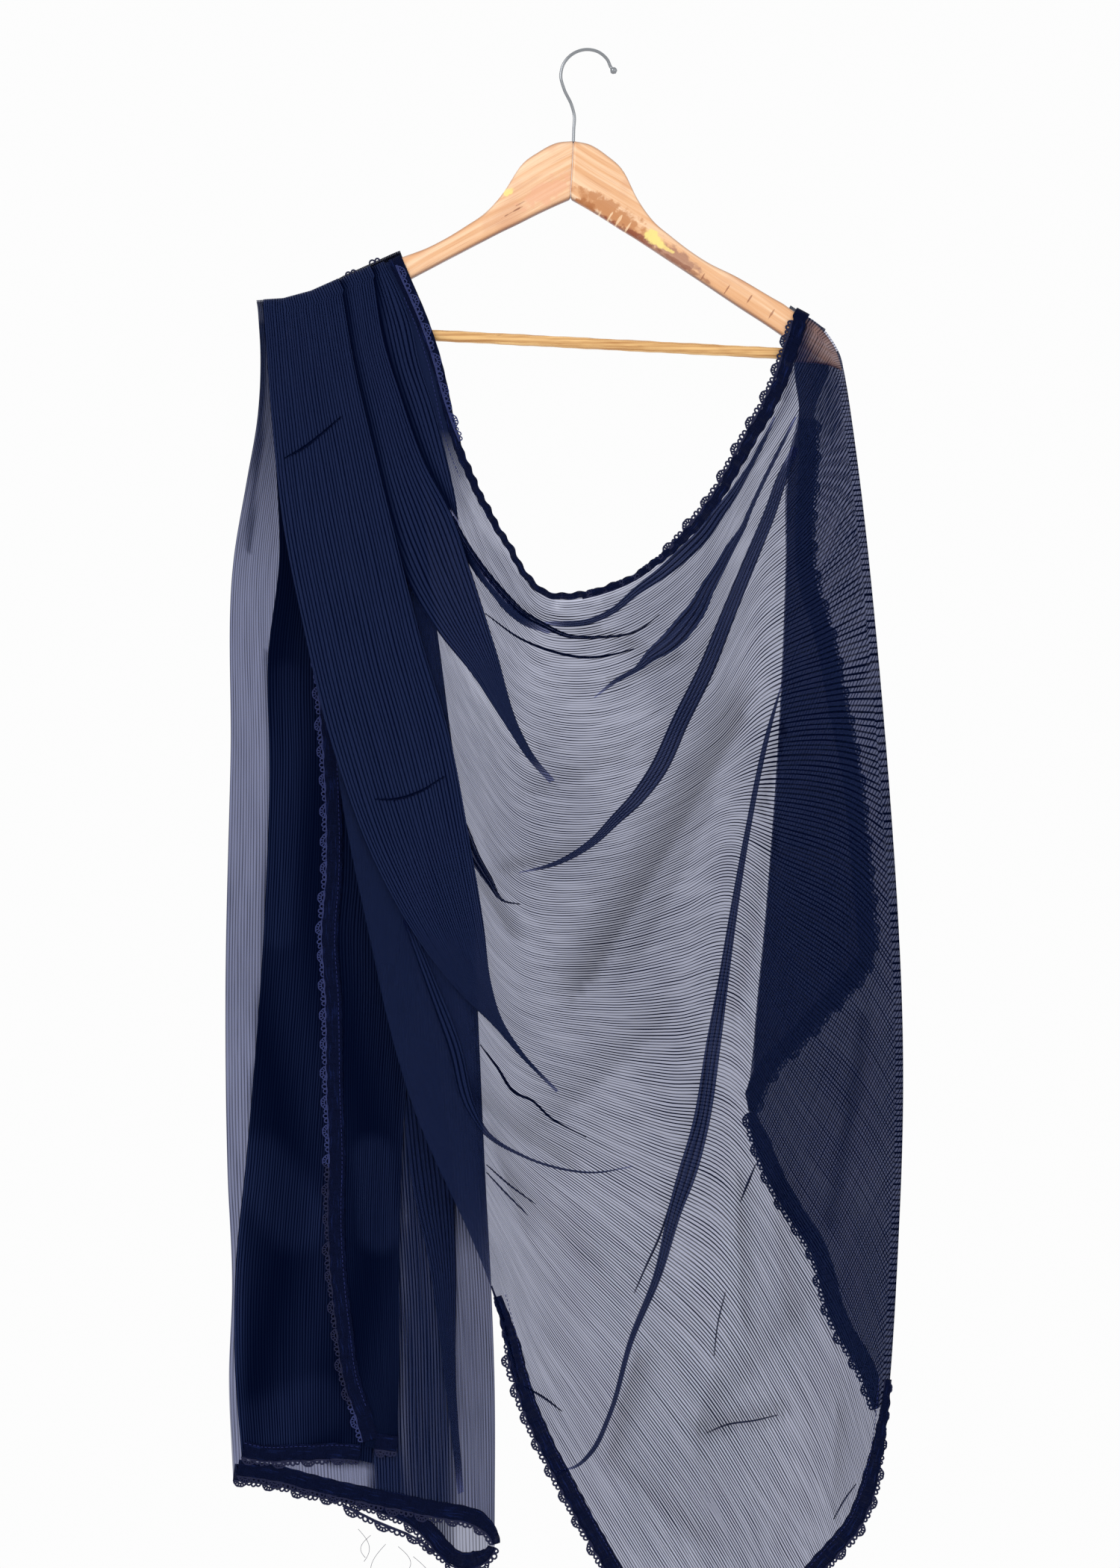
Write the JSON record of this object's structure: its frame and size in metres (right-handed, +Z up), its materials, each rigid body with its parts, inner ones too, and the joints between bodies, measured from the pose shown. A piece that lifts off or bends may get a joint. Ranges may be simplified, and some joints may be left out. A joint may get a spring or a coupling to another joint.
{
  "type": "dupatta stole on a hanger",
  "caption": "Sheer navy crinkled stole with scalloped lace edges, draped in a cowl over a wooden hanger with a bar and a wire hook.",
  "frame": {"origin": "seat inside the top of the hanger's hook, where a rail carries it", "axes": "+X to the right seen from the front, +Y to the back, +Z up"},
  "size_m": [0.5407, 0.0428, 1.3444],
  "materials": {
    "navy_chiffon": "sheer crinkled",
    "navy_lace": "matt thread",
    "varnished_wood": "worn varnish",
    "bar_wood": "satin varnish",
    "chrome_wire": "polished"
  },
  "bodies": {
    "root": {"hook": "chrome_wire", "hanger_left_arm": "varnished_wood", "hanger_right_arm": "varnished_wood", "hanger_bar": "bar_wood", "cowl": "navy_chiffon", "pleat_a": "navy_chiffon", "pleat_b": "navy_chiffon", "pleat_c": "navy_chiffon", "fold_1": "navy_chiffon", "fold_2": "navy_chiffon", "fold_3": "navy_chiffon", "fold_4": "navy_chiffon", "fold_5": "navy_chiffon", "right_turnback": "navy_chiffon", "right_end_flap": "navy_chiffon", "fall_lace_panel": "navy_chiffon", "fall_middle": "navy_chiffon", "fall_fold": "navy_chiffon", "fall_inner": "navy_chiffon", "fall_outer": "navy_chiffon", "neckline_hem": "navy_lace", "neckline_lace_left": "navy_lace", "neckline_lace_right": "navy_lace", "long_edge_hem": "navy_lace", "long_edge_lace": "navy_lace", "end_edge_hem": "navy_lace", "end_edge_lace": "navy_lace", "turnback_hem": "navy_lace", "turnback_lace": "navy_lace", "end_flap_hem": "navy_lace", "end_flap_lace": "navy_lace", "end_flap_side_hem": "navy_lace", "end_flap_side_lace": "navy_lace", "lace_panel_side_hem": "navy_lace", "lace_panel_side_lace": "navy_lace", "lace_panel_hem": "navy_lace", "lace_panel_lace": "navy_lace", "middle_hem": "navy_lace", "middle_lace": "navy_lace", "fall_inner_hem": "navy_lace", "fall_inner_lace": "navy_lace", "fall_outer_hem": "navy_lace", "fall_outer_lace": "navy_lace"}
  },
  "joints": []
}
